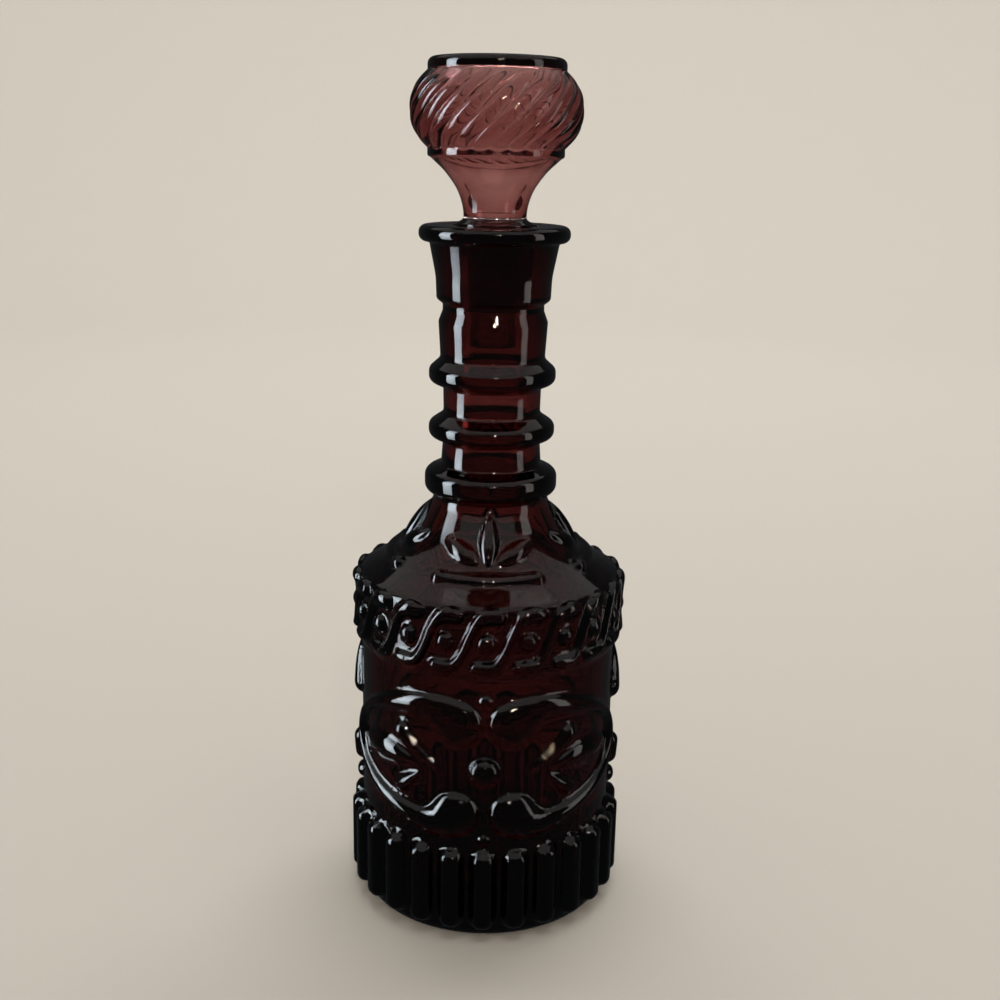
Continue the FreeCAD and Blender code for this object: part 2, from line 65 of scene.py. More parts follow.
# Bottle: base, body and shoulder
PUSH_UP = 4.5
PUSH_UP_R = 28.0
PUSH_UP_EDGE_R = 35.0
STANDING_R = 40.0
BASE_THICKNESS = 6.0
BASE_ROUND = 4.0
BODY_R = 49.0
BODY_HEIGHT = 131.2
WALL = 7.4
BAND_BOTTOM = 106.0
BAND_SLOPE = 1.6
BAND_RISE = 0.8
SHOULDER_EDGE = 3.0
SHOULDER_R = 31.0
SHOULDER_Z = 141.2
SHOULDER_ROUND = 40.0
INNER_SHOULDER_R = 26.6
INNER_SHOULDER_Z = 136.8
INNER_SHOULDER_ROUND = 30.0

# Bottle: neck, rings, cup and mouth
NECK_FOOT_Z = 158.0
NECK_FOOT_R = 22.0
NECK_R = 18.2
LOWER_RING_Z = 167.4
LOWER_RING_R = 24.9
RING_HEIGHTS = (185.6, 206.0)
RING_R = 23.5
RING_ROUND = 2.9
NECK_ABOVE_RINGS = (NECK_R - 0.2, NECK_R + 1.1)
CUP_R = 20.9
LIP_R = 27.45
LIP_ROUND = 2.6
MOUTH_R = 15.0
MOUTH_BEVEL = 1.0
SEAT_LENGTH = 32.0
SEAT_BOTTOM_R = 13.2
BORE_R = 13.0

# Stopper and seal
STOPPER_WALL = 3.0
HEAD_WALL = 2.1
SHANK_R = 8.7
FOOT_R = 14.0
FOOT_THICKNESS = 1.6
FOOT_BOTTOM = LIP_TOP - 1.8
STEM_R = 11.3
STEM_BORE = 7.0
STEM_FLARE = 17.5
FLARE_ROUND = 20.0
COLLAR_R = 24.4
COLLAR_THICKNESS = 3.2
HEAD_R = 30.7
HEAD_BOTTOM = 286.8
HEAD_BULGE = 2.4
RIM_BOTTOM = 313.0
RIM_R = 24.4
DISH_DEPTH = 1.6
SWIRL_RIBS = 24
SWIRL_TWIST = 55.0
SWIRL_DEPTH = 1.7
SWIRL_END_SHARE = 0.3
SWIRL_ARCH = 1.12
SWIRL_CREST = 1.06
TURN_CLEARANCE = 0.08
SEAL_CLEARANCE = 0.01

# Base ribs
RIBS = 26
RIB_PITCH = 360 / RIBS
RIB_HALF_WIDTH = 4.5
RIB_RISE = 4.4
RIB_EDGE = 3.0
RIB_CORNER = 3.8
RIB_CROWN = 0.12
RIB_BOTTOM = 4.6
RIB_TOP = 36.9
RIB_STRAIGHT_BOTTOM = RIB_BOTTOM + 5
RIB_STRAIGHT_TOP = RIB_TOP - 6

# Wave band, panels and shoulder
WAVES = 21
WAVE_PITCH = 360 / WAVES
WAVE_RISE = 2.6
SEAM_RISE = 0.12
STROKE_SPREAD = 1.06

# Heights between which each ornament is looked for
RIB_ZONE = (3, 42)
PANEL_ZONE = (38, 105)
WAVE_ZONE = (102, BODY_HEIGHT + 3.2)
PALMETTE_ZONE = (BODY_HEIGHT + 1.8, NECK_FOOT_Z + 1.5)

# How an ornament falls off to its edge: 0.5 is half-round, and more is flatter there
HALF_ROUND = 0.5
DROP_FALL = 0.55
SCROLL_FALL = 0.58
LEAF_FALL = 0.62
WAVE_FALL = 0.65
MIDDLE_LEAF_FALL = 0.7
PALMETTE_FALL = 0.8

# Fineness of the meshes: segments round, longest rows in millimetres, arcs in degrees a facet
BODY_SEGMENTS = 286
NECK_SEGMENTS = 130
STOPPER_SEGMENTS = 432
STAGE_SEGMENTS = 96
STRAIGHT_RIB_ROW = 5.0
RIB_END_ROW = 1.1
RIB_ROWS_TOP = RIB_TOP + 1.5
PANEL_ROW = 1.15
SHOULDER_ROW = 1.3
BASE_ROW = 8.0
NECK_ROW = 6.0
HOLLOW_ROW = 14.0
STOPPER_ROW = 3.0
SEAL_ROW = 4.0
STAGE_ROW = 4000.0
HEAD_ROWS = 44
ARC_STEP = 15
HOLLOW_ARC_STEP = 20
STAGE_ARC_STEP = 5
STROKE_STEPS = 8
STEEP_RISE = 0.75
SPOTS = ((0.25, 0.1), (-0.1, 0.25), (-0.25, -0.1), (0.1, -0.25))

# Glass: the colour that is left and how fast the rest is absorbed, per metre, and the tints of its streaks
BOTTLE_COLOUR = (0.43, 0.04, 0.02, 1)
BOTTLE_DENSITY = 375
BOTTLE_TINTS = ((0.95, 0.9, 0.9, 1), (0.85, 0.76, 0.77, 1))
STOPPER_COLOUR = (0.49, 0.09, 0.075, 1)
STOPPER_DENSITY = 265
STOPPER_TINTS = ((1, 0.97, 0.97, 1), (0.92, 0.86, 0.87, 1))
GLASS_STREAKS = {"Scale": 30.0, "Detail": 3.0}
GLASS_RIPPLE = {"Scale": 55.0, "Detail": 2.0}
GLASS_HAZE = {"Scale": 140.0, "Detail": 5.0}
MOST_HAZE = 0.08
GLASS_IOR = 1.52

# Plastic of the seal
SEAL_TONES = ((0.36, 0.18, 0.12, 1), (0.52, 0.29, 0.2, 1))
SEAL_MOTTLE = {"Scale": 300.0, "Detail": 4.0}
SEAL_ROUGHNESS = 0.35
SEAL_UNEVENNESS = 0.2

# Sockets of a Mix node that mixes colours
MIX_FIRST = 6
MIX_SECOND = 7
MIX_RESULT = 2

# Studio floor in millimetres, lamps in metres
STAGE_R = 2600.0
STAGE_BEND = 900.0
STAGE_HEIGHT = 2800.0
STAGE_PAINT = (0.62, 0.6, 0.56, 1)
BODY_MIDDLE = (0, 0, 0.2)
DAYLIGHT = (0.82, 0.92, 1.0)
WINDOW_SPREAD = 80
SMALL_LAMP = (0.12, 0.12)
ROOM_LIGHT = (1.0, 0.95, 0.9)
CEILING_LIGHT = (1.0, 0.96, 0.92)
LAMP_LIGHT = (1.0, 0.93, 0.84)
WARM_LIGHT = (1.0, 0.75, 0.5)
WASH_LIGHT = (1.0, 0.97, 0.92)
ROOM_COLOUR = (0.9, 0.95, 1.0, 1)
ROOM_STRENGTH = 0.04

# Camera, as fitted to the photograph: place in metres, angles in degrees
CAMERA_AT = (0.00373, -0.469, 0.287)
CAMERA_PITCH = 15.409
CAMERA_ROLL = 1.1
CAMERA_LENS = 45.97
SENSOR = 36.0

# Ornament strokes: (angle, height, half width, rise) stations

WAVE = [
    (-4.2, 109.8, 2.2, 2.3),
    (-1.5, 109.6, 2.4, WAVE_RISE),
    (1.2, 109.6, 2.4, WAVE_RISE),
    (3.8, 110.4, 2.1, WAVE_RISE),
    (6.2, 113.1, 1.8, 2.4),
    (8.4, 117.3, 1.7, 2.3),
    (10.5, 121.9, 1.7, 2.3),
    (12.6, 125.7, 1.9, 2.4),
    (15.2, 128.0, 2.5, WAVE_RISE),
    (18.6, 128.8, 2.9, 2.7),
    (21.8, 128.6, 2.6, 2.4),
]
WAVE_BEAD = [(0, 118.9, 3.3, 2.6)]
SCROLL = [
    (-11.6, 86.9, 8.5, 4.0),
    (-15.5, 89.3, 7.3, 3.7),
    (-20.5, 91.5, 5.8, 3.3),
    (-27.0, 92.4, 4.7, 3.0),
    (-34.0, 92.0, 4.1, 2.8),
    (-42.0, 90.6, 3.4, 2.6),
    (-50.0, 88.7, 2.8, 2.5),
    (-57.0, 86.0, 2.4, 2.4),
    (-63.5, 82.6, 2.1, 2.4),
    (-69.0, 78.0, 2.0, 2.4),
    (-73.2, 72.0, 1.9, 2.4),
    (-73.8, 66.2, 2.0, 2.4),
    (-69.6, 61.0, 2.1, 2.4),
    (-62.0, 56.8, 2.3, 2.5),
    (-50.5, 52.4, 2.6, 2.6),
    (-39.0, 49.4, 3.0, 2.7),
    (-30.0, 47.5, 3.8, 2.9),
    (-24.0, 47.0, 4.8, 3.2),
    (-18.5, 48.0, 6.2, 3.6),
    (-14.6, 49.8, 7.6, 4.0),
    (-12.3, 51.2, 8.3, 4.1),
]
MIDDLE_LEAF = [
    (-29.0, 68.2, 0.5, 0.5),
    (-36.0, 69.4, 2.4, 1.6),
    (-43.0, 69.9, 4.0, 2.2),
    (-50.0, 70.1, 4.8, 2.4),
    (-56.5, 70.1, 4.2, 2.2),
    (-62.0, 70.2, 2.8, 1.6),
    (-66.0, 70.5, 0.8, 0.6),
]
UPPER_CLUB = [
    (-18.8, 68.4, 0.6, 0.5),
    (-24.4, 71.0, 1.5, 1.5),
    (-31.0, 74.6, 2.2, 2.0),
    (-35.6, 77.6, 3.0, 2.5),
    (-38.5, 80.0, 3.5, 2.7),
]
LOWER_LEAF = [
    (-29.0, 65.0, 0.6, 0.5),
    (-32.5, 62.4, 1.9, 1.6),
    (-36.0, 60.0, 2.6, 2.0),
    (-39.2, 58.0, 2.5, 2.0),
]
BOSS = [(0, 68.7, 5.3, 4.3)]
TOP_PEARL = [(0, 96.4, 2.3, 1.7)]
BOTTOM_PEARL = [(0, 41.3, 2.1, 1.6)]
DROP = [
    (0, 101.2, 0.6, 0.6),
    (0, 96.0, 2.1, 2.0),
    (0, 90.0, 3.4, 3.0),
    (0, 82.8, 4.5, 3.5),
]
POD = [
    (0, 52.8, 3.3, 3.4),
    (0, 59.0, 3.7, 3.8),
]
SIDE_PEARL = [(0, 44.6, 3.3, 2.6)]
PALMETTE_BAR = [
    (-28.0, 138.0, 2.9, 2.5),
    (-22.0, 138.0, 2.5, 1.9),
    (0, 138.0, 2.7, 2.0),
    (22.0, 138.0, 2.5, 1.9),
    (28.0, 138.0, 2.9, 2.5),
]
PALMETTE_LEAF = [
    (0, 141.8, 0.7, 0.6),
    (0, 144.5, 2.6, 2.2),
    (0, 148.5, 3.7, 3.0),
    (0, 153.0, 2.8, 2.4),
    (0, 157.5, 0.7, 0.6),
]
PALMETTE_SIDE_LEAF = [
    (4.5, 142.3, 0.7, 0.5),
    (10.0, 143.6, 2.4, 1.6),
    (16.5, 145.1, 3.4, 2.2),
    (25.0, 147.0, 2.9, 1.8),
    (34.0, 149.0, 0.7, 0.5),
]


def smooth_run(stations):
    """Points of a smooth line through the stations, each a row of numbers (Catmull-Rom)."""
    rows = np.array(stations, float)
    ends = np.vstack([2 * rows[0] - rows[1], rows, 2 * rows[-1] - rows[-2]])
    points = []
    for before, here, ahead, after in zip(ends, ends[1:], ends[2:], ends[3:]):
        for t in np.arange(STROKE_STEPS) / STROKE_STEPS:
            bend = (2 * before - 5 * here + 4 * ahead - after) * t * t
            swing = (3 * here - before - 3 * ahead + after) * t ** 3
            points.append((2 * here + (ahead - before) * t + bend + swing) / 2)
    points.append(rows[-1])
    return np.array(points)


def even_rows(length):
    """Row length that is the same at every height."""
    return lambda height: length


def corner_arc(before, here, after, size, row, arc_step):
    """Points of the arc that rounds a corner."""
    back = (before - here) / np.linalg.norm(before - here)
    ahead = (after - here) / np.linalg.norm(after - here)
    half = math.acos(float(np.clip(back @ ahead, -1, 1))) / 2
    reach = size / math.tan(half)
    centre = here + (back + ahead) / np.linalg.norm(back + ahead) * size / math.sin(half)
    start = here + back * reach - centre
    sweep = math.pi - 2 * half
    side = math.copysign(1, back[1] * ahead[0] - back[0] * ahead[1])
    longest = min(math.radians(arc_step), row / size)
    count = max(2, math.ceil(sweep / longest))
    arc = []
    for turn in np.linspace(0, sweep * side, count + 1):
        spin = np.array([[math.cos(turn), -math.sin(turn)], [math.sin(turn), math.cos(turn)]])
        arc.append(centre + spin @ start)
    return arc


def rounded(corners, row, arc_step=ARC_STEP):
    """(radius, height) points along (radius, height, rounding) corners, at most row(height) apart."""
    spots = [np.array(corner[:2], float) for corner in corners]
    points = [spots[0]]
    for i in range(1, len(corners)):
        here = spots[i]
        size = corners[i][2]
        arc = [here]
        if size and i < len(corners) - 1:
            arc = corner_arc(spots[i - 1], here, spots[i + 1], size, row(here[1]), arc_step)
        run = arc[0] - points[-1]
        middle = (arc[0][1] + points[-1][1]) / 2
        count = max(1, math.ceil(np.linalg.norm(run) / row(middle) - ROW_COUNT_SLACK))
        points += [points[-1] + run * k / count for k in range(1, count)]
        points += arc
    return points


def turned_skin(name, outline, segments):
    """Object turned about Z from an outline that is drawn at the front, from its first point to its last."""
    places = [np.array((0, -r * MM, z * MM)) for r, z in outline]
    bpy.ops.object.select_all(action="DESELECT")
    bpy.ops.mesh.primitive_plane_add(size=MM)
    skin = bpy.context.object
    skin.name = name
    skin.data.name = name
    bpy.ops.object.mode_set(mode="EDIT")
    bpy.ops.mesh.merge(type="CENTER")
    bpy.ops.transform.translate(value=places[0])
    for here, there in zip(places, places[1:]):
        bpy.ops.mesh.extrude_region_move(TRANSFORM_OT_translate={"value": there - here})
    bpy.ops.object.mode_set(mode="OBJECT")
    turn = skin.modifiers.new("turn", "SCREW")
    turn.steps = segments
    turn.render_steps = segments
    turn.use_merge_vertices = True
    turn.merge_threshold = WELD
    bpy.ops.object.modifier_apply(modifier="turn")
    return skin


def close_piece():
    """Merges the seam and poles of the object in hand, turns its faces outward and shades it smooth."""
    bpy.ops.object.mode_set(mode="EDIT")
    bpy.ops.mesh.select_all(action="SELECT")
    bpy.ops.mesh.remove_doubles(threshold=WELD)
    bpy.ops.mesh.normals_make_consistent(inside=False)
    bpy.ops.object.mode_set(mode="OBJECT")
    bpy.ops.object.shade_smooth()


def bridge_gap():
    """Closes the gap between the two open edges of the object in hand."""
    bpy.ops.object.mode_set(mode="EDIT")
    bpy.ops.mesh.select_all(action="SELECT")
    bpy.ops.mesh.remove_doubles(threshold=WELD)
    bpy.ops.mesh.select_all(action="DESELECT")
    bpy.ops.mesh.select_mode(type="EDGE")
    bpy.ops.mesh.select_non_manifold(
        use_wire=False, use_multi_face=False, use_non_contiguous=False, use_verts=False)
    bpy.ops.mesh.bridge_edge_loops()
    bpy.ops.mesh.select_mode(type="VERT")
    bpy.ops.object.mode_set(mode="OBJECT")


def cut_steep_faces(piece, rise):
    """Cuts each face in four where a relief, given in millimetres for each vertex, is steep."""
    for part in (piece.data.vertices, piece.data.edges):
        part.foreach_set("select", np.zeros(len(part), bool))
    for face in piece.data.polygons:
        rises = rise[list(face.vertices)]
        face.select = bool(rises.max() - rises.min() > STEEP_RISE)
    bpy.ops.object.mode_set(mode="EDIT")
    bpy.ops.mesh.select_mode(type="FACE")
    bpy.ops.mesh.subdivide(number_cuts=1, ngon=False)
    bpy.ops.mesh.select_mode(type="VERT")
    bpy.ops.object.mode_set(mode="OBJECT")
    bpy.ops.object.shade_smooth()


def raise_relief(piece, name, rise):
    """Raises the piece's surface, or sinks it, by a relief in millimetres for each vertex."""
    most = float(rise[np.abs(rise).argmax()])
    group = piece.vertex_groups.new(name=name)
    for index in np.flatnonzero(np.abs(rise) > LEAST_RISE):
        group.add([int(index)], float(rise[index]) / most, "REPLACE")
    relief = piece.modifiers.new(name, "DISPLACE")
    relief.vertex_group = name
    relief.direction = "NORMAL"
    relief.mid_level = 0
    relief.strength = most * MM
    bpy.ops.object.modifier_apply(modifier=name)
    piece.vertex_groups.remove(piece.vertex_groups[name])


def fold(angle, period):
    """Angle from the nearest of the directions that repeat every period."""
    return (angle + period / 2) % period - period / 2


class Wall:
    """Where a piece's vertices lie on its turned surface: angle in degrees, and the rest in millimetres."""

    def __init__(self, piece, outline):
        places = np.empty(len(piece.data.vertices) * 3, np.float32)
        piece.data.vertices.foreach_get("co", places)
        x, y, z = places.reshape(-1, 3).T.astype(float) / MM
        self.radius = np.hypot(x, y)
        self.angle = np.degrees(np.arctan2(x, -y))
        self.height = z
        path = np.array(outline)
        self.run_heights = path[:, 1]
        self.runs = np.concatenate([[0], np.cumsum(np.linalg.norm(np.diff(path, axis=0), axis=1))])
        self.run = self.run_at(z)
        self.outside = self.radius > np.interp(z, path[:, 1], path[:, 0]) - SKIN_DEPTH

    def run_at(self, height):
        """Distance along the outline to a height on its rising part."""
        return np.interp(height, self.run_heights, self.runs)

    def stroke(self, chosen, angle, stations, fall):
        """Rise of a rounded ridge along its stations, on the chosen vertices."""
        along = smooth_run(stations) if len(stations) > 1 else np.array(stations, float)
        across = np.radians(angle[chosen][:, None] - along[:, 0]) * self.radius[chosen][:, None]
        up = self.run[chosen][:, None] - self.run_at(along[:, 1])
        share = (across ** 2 + up ** 2) / (along[:, 2] * STROKE_SPREAD) ** 2
        return (along[:, 3] * np.clip(1 - share, 0, 1) ** fall).max(axis=1)

    def relief(self, zone, ornament):
        """Rise of an ornament between two heights, averaged over a few spots round each vertex."""
        low, high = zone
        rise = np.zeros(len(self.height))
        chosen = np.flatnonzero((self.height > low) & (self.height < high) & self.outside)
        run = self.run
        for across, up in SPOTS:
            self.run = run + up
            angle = self.angle + math.degrees(across / BODY_R)
            rise[chosen] += ornament(self, chosen, angle) / len(SPOTS)
        self.run = run
        return rise


def base_ribs(wall, chosen, angle):
    """Upright bars with rounded edges and ends."""
    along = np.radians(fold(angle[chosen], RIB_PITCH)) * BODY_R
    above_middle = np.abs(wall.height[chosen] - (RIB_TOP + RIB_BOTTOM) / 2)
    out_x = np.abs(along) - RIB_HALF_WIDTH + RIB_CORNER
    out_z = above_middle - (RIB_TOP - RIB_BOTTOM) / 2 + RIB_CORNER
    corner = np.hypot(np.maximum(out_x, 0), np.maximum(out_z, 0))
    outside = corner + np.minimum(np.maximum(out_x, out_z), 0) - RIB_CORNER
    edge = np.clip(-outside / RIB_EDGE, 0, 1)
    crown = 1 - RIB_CROWN * (along / RIB_HALF_WIDTH) ** 2
    return RIB_RISE * crown * np.sqrt(1 - (1 - edge) ** 2)


def running_wave(wall, chosen, angle):
    """Leaning strokes that hook round a row of beads."""
    near = fold(angle, WAVE_PITCH)
    rise = wall.stroke(chosen, near, WAVE_BEAD, HALF_ROUND)
    for turn in (-2, -1, 0, 1, 2):
        rise = np.maximum(rise, wall.stroke(chosen, near - turn * WAVE_PITCH, WAVE, WAVE_FALL))
    return rise


def scroll_panels(wall, chosen, angle):
    """Facing scrolls with leaves, boss, pearls and mould seam, front and back, and drops at the sides."""
    front = fold(angle, 180)
    left = -np.abs(front)
    side = fold(angle + 90, 180)
    strokes = [
        (left, SCROLL, SCROLL_FALL),
        (left, MIDDLE_LEAF, MIDDLE_LEAF_FALL),
        (left, UPPER_CLUB, LEAF_FALL),
        (left, LOWER_LEAF, LEAF_FALL),
        (front, BOSS, HALF_ROUND),
        (front, TOP_PEARL, HALF_ROUND),
        (front, BOTTOM_PEARL, HALF_ROUND),
        (side, DROP, DROP_FALL),
        (side, POD, DROP_FALL),
        (side, SIDE_PEARL, HALF_ROUND),
    ]
    half_segment = 180 / BODY_SEGMENTS
    rise = np.where(np.abs(front[chosen]) < half_segment, SEAM_RISE, 0)
    for turned, stations, fall in strokes:
        rise = np.maximum(rise, wall.stroke(chosen, turned, stations, fall))
    return rise


def palmettes(wall, chosen, angle):
    """A bar with three leaves above it, four times round the shoulder."""
    near = fold(angle, 90)
    rise = wall.stroke(chosen, near, PALMETTE_BAR, PALMETTE_FALL)
    for turned, stations in ((near, PALMETTE_LEAF), (np.abs(near), PALMETTE_SIDE_LEAF)):
        rise = np.maximum(rise, wall.stroke(chosen, turned, stations, PALMETTE_FALL))
    return rise


def body_row(height):
    """Longest row of faces on the body at a height: fine where there is ornament."""
    if RIB_STRAIGHT_BOTTOM < height < RIB_STRAIGHT_TOP:
        return STRAIGHT_RIB_ROW
    if height < RIB_ROWS_TOP:
        return RIB_END_ROW
    return PANEL_ROW if height < BODY_HEIGHT else SHOULDER_ROW


# Outlines of the pieces: (radius, height, rounding) corners


def base_corners():
    """Underside of the bottle, from the middle of its push-up to the ring that it stands on."""
    return [
        (0, PUSH_UP, 0),
        (PUSH_UP_R, PUSH_UP, 4.0),
        (PUSH_UP_EDGE_R, 0, 2.0),
        (STANDING_R, 0, 0),
    ]


def body_corners():
    """Outside of the bottle from the ring that it stands on to the foot of the neck."""
    return [
        (STANDING_R, 0, 0),
        (BODY_R, 0, BASE_ROUND),
        (BODY_R, RIB_STRAIGHT_BOTTOM, 0),
        (BODY_R, RIB_STRAIGHT_TOP, 0),
        (BODY_R, BAND_BOTTOM - BAND_SLOPE, 0),
        (BODY_R + BAND_RISE, BAND_BOTTOM, 0),
        (BODY_R + BAND_RISE, BODY_HEIGHT, SHOULDER_EDGE),
        (SHOULDER_R, SHOULDER_Z, SHOULDER_ROUND),
        (NECK_FOOT_R, NECK_FOOT_Z, 0),
        (NECK_FOOT_R - 0.5, NECK_FOOT_Z + 2.4, 0),
    ]


def neck_corners():
    """Neck with its rings, cup, lip and mouth."""
    corners = [
        (NECK_FOOT_R - 0.6, NECK_FOOT_Z + 3.0, 0),
        (LOWER_RING_R, LOWER_RING_Z - 4.2, 3.2),
        (LOWER_RING_R, LOWER_RING_Z + 2.7, 3.3),
        (NECK_R + 0.6, LOWER_RING_Z + 5.2, 1.2),
    ]
    for height, above in zip(RING_HEIGHTS, NECK_ABOVE_RINGS):
        corners += [
            (NECK_R, height - 4.4, 1.0),
            (RING_R, height - 2.0, RING_ROUND),
            (RING_R, height + 2.7, RING_ROUND),
            (above, height + 6.4, 2.6),
        ]
    corners += [
        (CUP_R - 0.8, LIP_TOP - 35.2, 1.6),
        (CUP_R - 2.3, LIP_TOP - 31.2, 1.0),
        (CUP_R - 2.3, LIP_TOP - 28.8, 0.8),
        (CUP_R, LIP_TOP - 27.0, 1.6),
        (CUP_R + 0.3, LIP_TOP - 19.0, 24.0),
        (CUP_R + 2.7, LIP_TOP - 6.8, 1.0),
        (LIP_R, LIP_TOP - 6.2, LIP_ROUND),
        (LIP_R, LIP_TOP - LIP_DROP, LIP_ROUND),
        (MOUTH_R + MOUTH_BEVEL, LIP_TOP - LIP_DROP, 0.6),
        (MOUTH_R, LIP_TOP - MOUTH_BEVEL - LIP_DROP, 0),
    ]
    return corners


def hollow_corners():
    """Inside of the bottle, from the mouth down to the middle of the floor."""
    seat_bottom = LIP_TOP - SEAT_LENGTH
    floor = PUSH_UP + BASE_THICKNESS
    return [
        (MOUTH_R, LIP_TOP - MOUTH_BEVEL - LIP_DROP, 0),
        (SEAT_BOTTOM_R, seat_bottom, 0),
        (BORE_R, seat_bottom - 0.6, 0),
        (BORE_R, NECK_FOOT_Z + 4.0, 10.0),
        (INNER_SHOULDER_R, INNER_SHOULDER_Z, INNER_SHOULDER_ROUND),
        (BODY_R - WALL, BODY_HEIGHT - WALL, 7.0),
        (BODY_R - WALL, floor, 12.0),
        (0, floor, 0),
    ]


def make_bottle():
    """Mould-blown bottle: outside and hollow turned as one closed skin, with the ornament raised on it."""
    rising = rounded(body_corners(), body_row)
    body = rounded(base_corners(), even_rows(BASE_ROW)) + rising[1:]
    neck = rounded(neck_corners(), even_rows(NECK_ROW))
    neck += rounded(hollow_corners(), even_rows(HOLLOW_ROW), HOLLOW_ARC_STEP)[1:]
    upper = turned_skin("decanter_neck", neck, NECK_SEGMENTS)
    piece = turned_skin("decanter_bottle", body, BODY_SEGMENTS)
    upper.select_set(True)
    bpy.ops.object.join()
    bridge_gap()
    close_piece()
    fine_ornaments = (
        ("running_wave", WAVE_ZONE, running_wave),
        ("scroll_panels", PANEL_ZONE, scroll_panels),
        ("palmettes", PALMETTE_ZONE, palmettes),
    )
    wall = Wall(piece, rising)
    cut_steep_faces(piece, sum(wall.relief(zone, ornament) for name, zone, ornament in fine_ornaments))
    wall = Wall(piece, rising)
    for name, zone, ornament in (("base_ribs", RIB_ZONE, base_ribs), *fine_ornaments):
        raise_relief(piece, name, wall.relief(zone, ornament))
    return piece


def head_radius(height):
    """Crest radius of the swirled head, an oval that closes toward rim and collar."""
    bend = abs(2 * (height - HEAD_BOTTOM) / (RIM_BOTTOM - HEAD_BOTTOM) - 1)
    return HEAD_R + (RIM_R - HEAD_R) * bend ** HEAD_BULGE


def stopper_outside():
    """Stopper from the open end of its shank up the outside to the middle of its top."""
    foot_top = FOOT_BOTTOM + FOOT_THICKNESS
    collar_bottom = HEAD_BOTTOM - COLLAR_THICKNESS
    dish = STOPPER_TOP - DISH_DEPTH
    lower = rounded([
        (SHANK_R - STOPPER_WALL, SHANK_END, 0),
        (SHANK_R, SHANK_END, 1.2),
        (SHANK_R, FOOT_BOTTOM, 0),
        (FOOT_R, FOOT_BOTTOM, 0.6),
        (FOOT_R, foot_top, 0.5),
        (STEM_R, foot_top + 1.6, 1.6),
        (STEM_R, collar_bottom - STEM_FLARE, FLARE_ROUND),
        (13.6, collar_bottom - 10.8, FLARE_ROUND),
        (18.3, collar_bottom - 4.6, FLARE_ROUND),
        (COLLAR_R - 1.0, collar_bottom, 0.5),
        (COLLAR_R, collar_bottom + 0.3, 1.0),
        (COLLAR_R, HEAD_BOTTOM - 0.4, 0),
    ], even_rows(STOPPER_ROW))
    head = [(head_radius(z), z) for z in np.linspace(HEAD_BOTTOM, RIM_BOTTOM, HEAD_ROWS)]
    upper = rounded([
        (RIM_R, RIM_BOTTOM + 0.6, 0),
        (RIM_R, STOPPER_TOP, 2.4),
        (RIM_R - 5.0, STOPPER_TOP, 1.5),
        (RIM_R - 7.0, dish, 1.5),
        (0, dish, 0),
    ], even_rows(STOPPER_ROW))
    return lower + head + upper


def stopper_hollow():
    """Inside of the stopper, from the middle of the head's roof down to the open end of the shank."""
    roof = RIM_BOTTOM + 0.5
    collar_bottom = HEAD_BOTTOM - COLLAR_THICKNESS
    return rounded([
        (0, roof, 0),
        (RIM_R - HEAD_WALL, roof, 3.0),
        (HEAD_R - HEAD_WALL - SWIRL_DEPTH, (HEAD_BOTTOM + RIM_BOTTOM) / 2, 14.0),
        (19.6, collar_bottom + 2.4, 3.0),
        (14.9, collar_bottom - 3.6, 16.0),
        (10.2, collar_bottom - 10.0, 16.0),
        (STEM_BORE, collar_bottom - STEM_FLARE, 12.0),
        (STEM_BORE, FOOT_BOTTOM - 2.0, 4.0),
        (SHANK_R - STOPPER_WALL, FOOT_BOTTOM - 12.0, 4.0),
        (SHANK_R - STOPPER_WALL, SHANK_END, 0),
    ], even_rows(STOPPER_ROW))


def swirl_valleys(wall):
    """Relief, all of it below the crests, of the upright ribs round the head before they are twisted."""
    share = np.clip((wall.height - HEAD_BOTTOM) / (RIM_BOTTOM - HEAD_BOTTOM), 0, 1)
    across = fold(wall.angle, 360 / SWIRL_RIBS) / (180 / SWIRL_RIBS)
    depth = SWIRL_DEPTH * (SWIRL_END_SHARE + (1 - SWIRL_END_SHARE) * np.sin(math.pi * share))
    inner_limit = head_radius(np.clip(wall.height, HEAD_BOTTOM, RIM_BOTTOM)) - STOPPER_WALL / 2
    skin = (wall.radius > inner_limit) & (share > 0) & (share < 1)
    return np.where(skin, depth * (np.sqrt(SWIRL_ARCH - across ** 2) - SWIRL_CREST), 0)


def make_stopper():
    """Hollow blown stopper whose head has twisted ribs."""
    outside = stopper_outside()
    piece = turned_skin("stopper_glass_head", stopper_hollow() + outside[1:], STOPPER_SEGMENTS)
    close_piece()
    raise_relief(piece, "valleys", swirl_valleys(Wall(piece, outside)))
    twist = piece.modifiers.new("swirl", "SIMPLE_DEFORM")
    twist.deform_method = "TWIST"
    twist.deform_axis = "Z"
    twist.angle = math.radians(SWIRL_TWIST)
    span = STOPPER_TOP - SHANK_END
    twist.limits = ((HEAD_BOTTOM - SHANK_END) / span, (RIM_BOTTOM - SHANK_END) / span)
    bpy.ops.object.modifier_apply(modifier="swirl")
    return piece


def make_seal():
    """Tapered sleeve between the shank and the neck."""
    taper = (MOUTH_R - SEAT_BOTTOM_R) / (SEAT_LENGTH - MOUTH_BEVEL)
    inside = SHANK_R + TURN_CLEARANCE
    middle = (SLEEVE_BOTTOM + SLEEVE_TOP) / 2
    outline = rounded([
        (inside, middle, 0),
        (inside, SLEEVE_BOTTOM, 0.6),
        (SLEEVE_R - (SLEEVE_TOP - SLEEVE_BOTTOM) * taper, SLEEVE_BOTTOM, 1.0),
        (SLEEVE_R - SEAL_CLEARANCE, SLEEVE_TOP, 0.5),
        (inside, SLEEVE_TOP, 0.3),
        (inside, middle, 0),
    ], even_rows(SEAL_ROW))
    piece = turned_skin("stopper_seal", outline, NECK_SEGMENTS)
    close_piece()
    return piece


